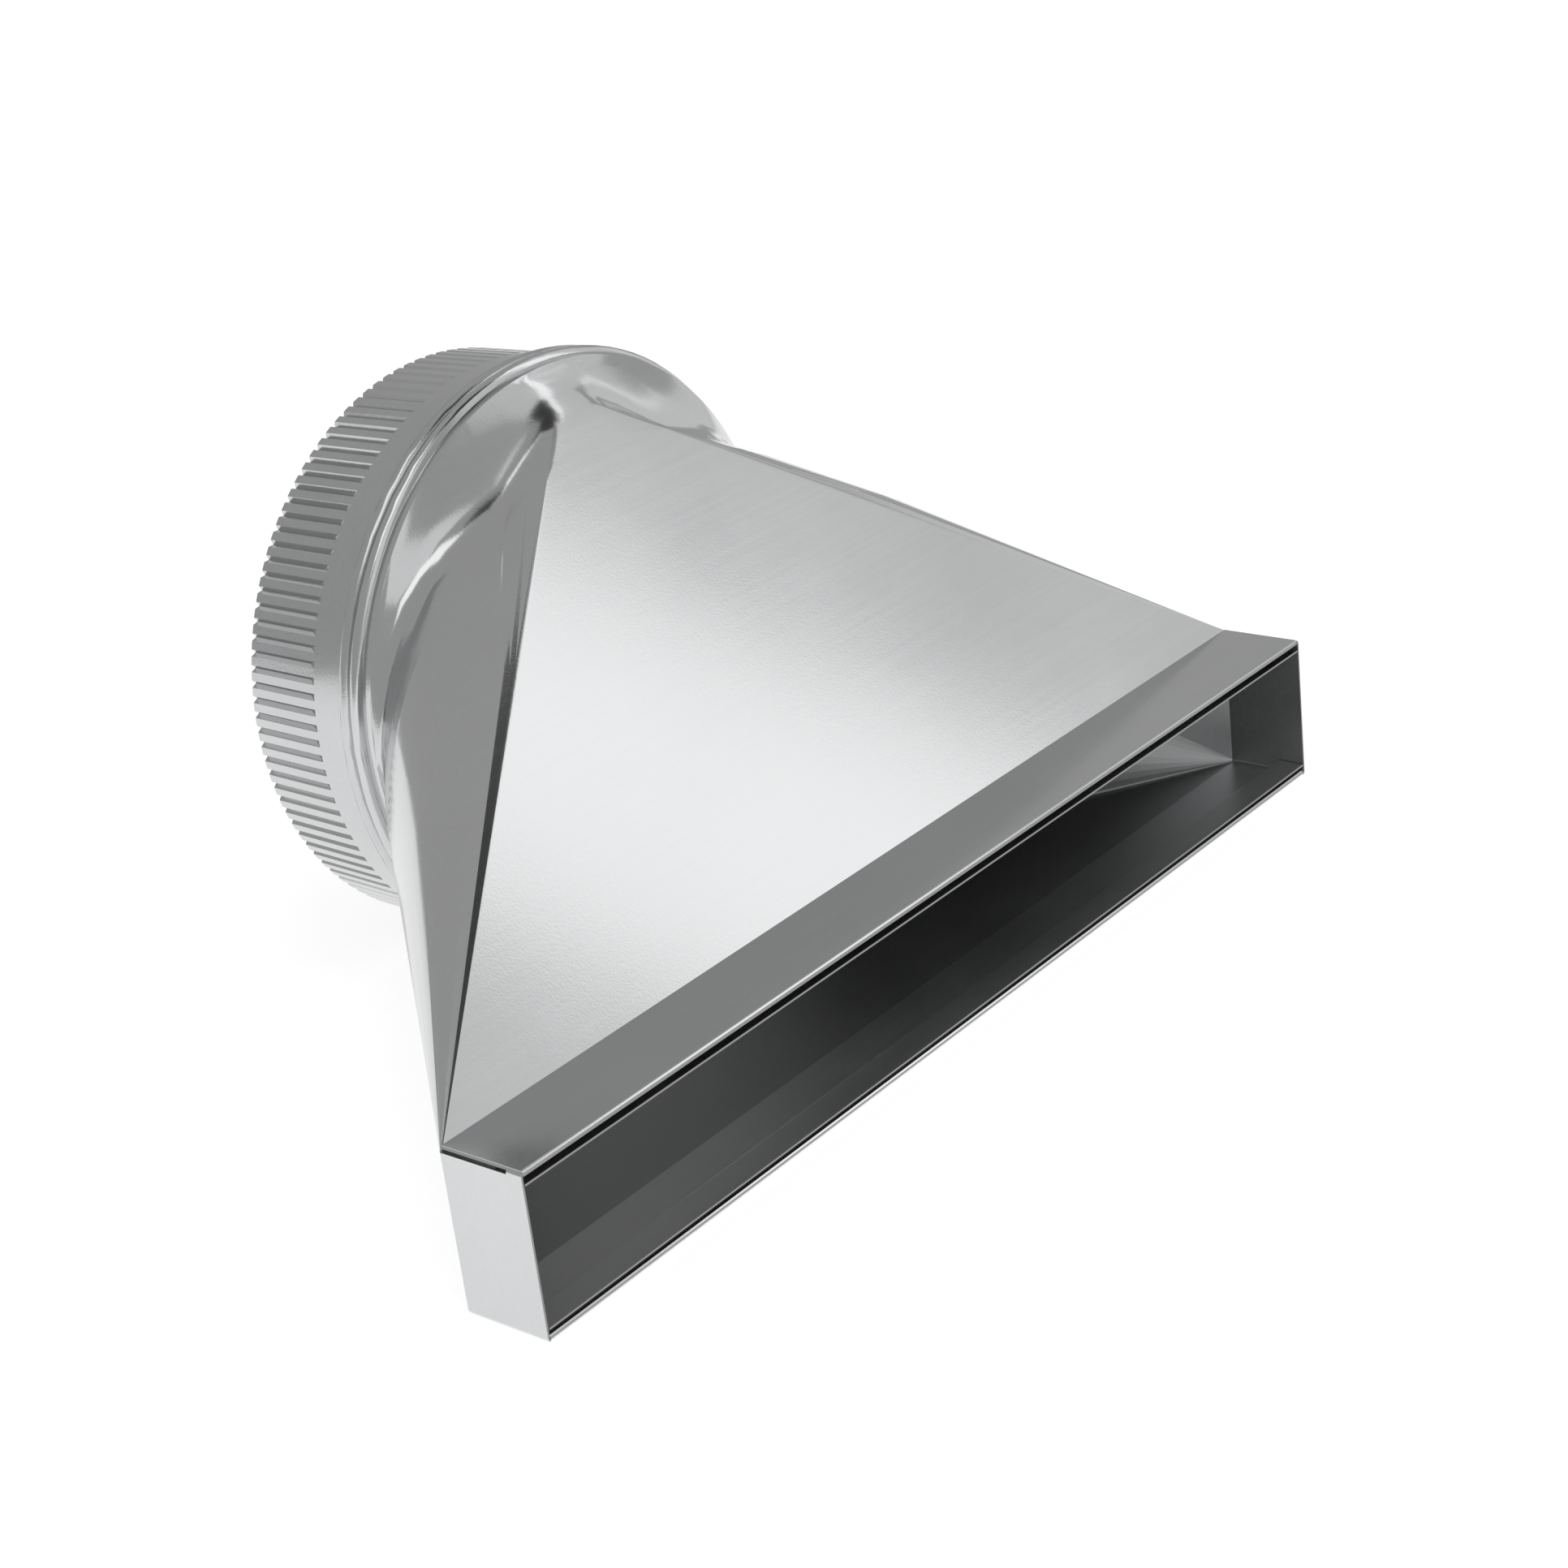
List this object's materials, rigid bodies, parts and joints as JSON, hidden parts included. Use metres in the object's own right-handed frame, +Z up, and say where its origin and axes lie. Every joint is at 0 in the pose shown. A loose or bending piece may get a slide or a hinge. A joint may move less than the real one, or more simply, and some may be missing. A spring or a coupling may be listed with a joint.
{
  "type": "range hood duct transition",
  "caption": "Sheet metal duct transition from a slim rectangular opening to a beaded round collar with a crimped end, flat along its underside.",
  "frame": {"origin": "middle of the rectangular opening, in its front plane", "axes": "+Y from the rectangular opening towards the round end, +X along the opening's long side, +Z up, away from the flat underside"},
  "size_m": [0.375, 0.1879, 0.1844],
  "materials": {
    "body_sheet": "smooth bright galvanised steel, satin",
    "collar_sheet": "galvanised steel, a little duller than the body"
  },
  "bodies": {
    "root": {"transition_body": "body_sheet", "round_collar": "collar_sheet"}
  },
  "joints": []
}
